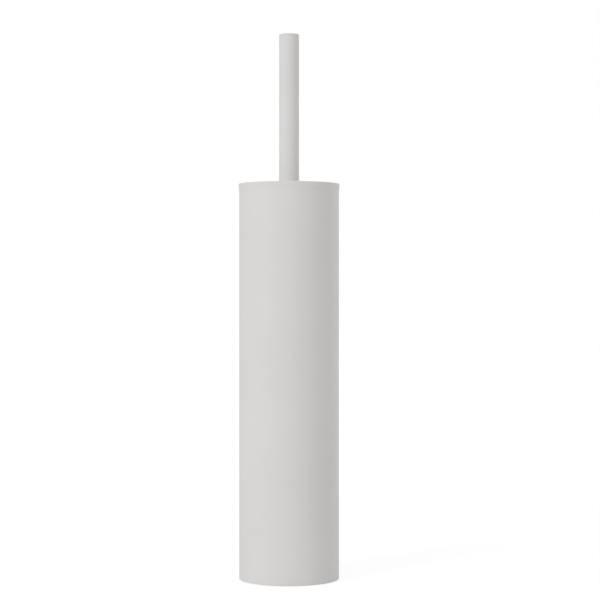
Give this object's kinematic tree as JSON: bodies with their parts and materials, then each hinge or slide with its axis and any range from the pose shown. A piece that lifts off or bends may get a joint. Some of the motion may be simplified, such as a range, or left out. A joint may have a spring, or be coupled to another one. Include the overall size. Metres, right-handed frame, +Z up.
{
  "type": "toilet brush holder",
  "caption": "Slim round toilet brush holder with a weighted base, a lift-out plastic liner, and a lidded brush with a straight bar handle and a screw-on head.",
  "frame": {"origin": "on the floor under the middle of the round holder", "axes": "+Z up along the holder and the handle; +X to the right and -Y to the front in the picture, though the outside is round"},
  "size_m": [0.0768, 0.0768, 0.4145],
  "materials": {
    "powder_coat": "matte light warm grey powder coat",
    "foot_rubber": "matte",
    "ballast_iron": "as cast, turned faces",
    "zinc_steel": "zinc plated",
    "liner_plastic": "satin polypropylene",
    "silicone": "matte",
    "washer_plastic": "matte nylon",
    "brass": "turned",
    "shaft_steel": "brushed stainless",
    "core_plastic": "satin polypropylene",
    "bristle": "semi-matte nylon"
  },
  "bodies": {
    "holder": {"outer_tube": "powder_coat", "base_plate": "powder_coat", "foot_ring": "foot_rubber", "ballast_disc": "ballast_iron", "ballast_screws": "zinc_steel"},
    "liner": {"liner_cup": "liner_plastic"},
    "brush": {"lid": "powder_coat", "lid_gasket": "silicone", "handle_washer": "washer_plastic", "handle_tube": "powder_coat", "handle_end_cap": "powder_coat", "handle_insert": "brass", "shaft": "shaft_steel", "clamp_washer": "zinc_steel", "lock_washer": "zinc_steel"},
    "head_seal": {"head_washer": "silicone"},
    "brush_head": {"brush_core": "core_plastic", "head_insert": "brass", "bristle_sleeve": "bristle", "bristle_tip": "bristle"}
  },
  "joints": [
    {"name": "liner_lift", "type": "slide", "parent": "holder", "child": "liner", "axis": [0, 0, 1], "range_m": [0, 0.29]},
    {"name": "brush_lift", "type": "slide", "parent": "liner", "child": "brush", "axis": [0, 0, 1], "range_m": [0, 0.3]},
    {"name": "head_turn", "type": "hinge", "parent": "brush", "child": "head_seal", "pos_m": [0, 0, 0.1225], "axis": [0, 0, -1], "range_deg": [0, 2880]},
    {"name": "head_travel", "type": "slide", "parent": "head_seal", "child": "brush_head", "axis": [0, 0, -1], "range_m": [0, 0.01]}
  ],
  "couplings": [
    {"joint": "head_turn", "follows": "head_travel", "rad_per_m": 5026.5}
  ]
}
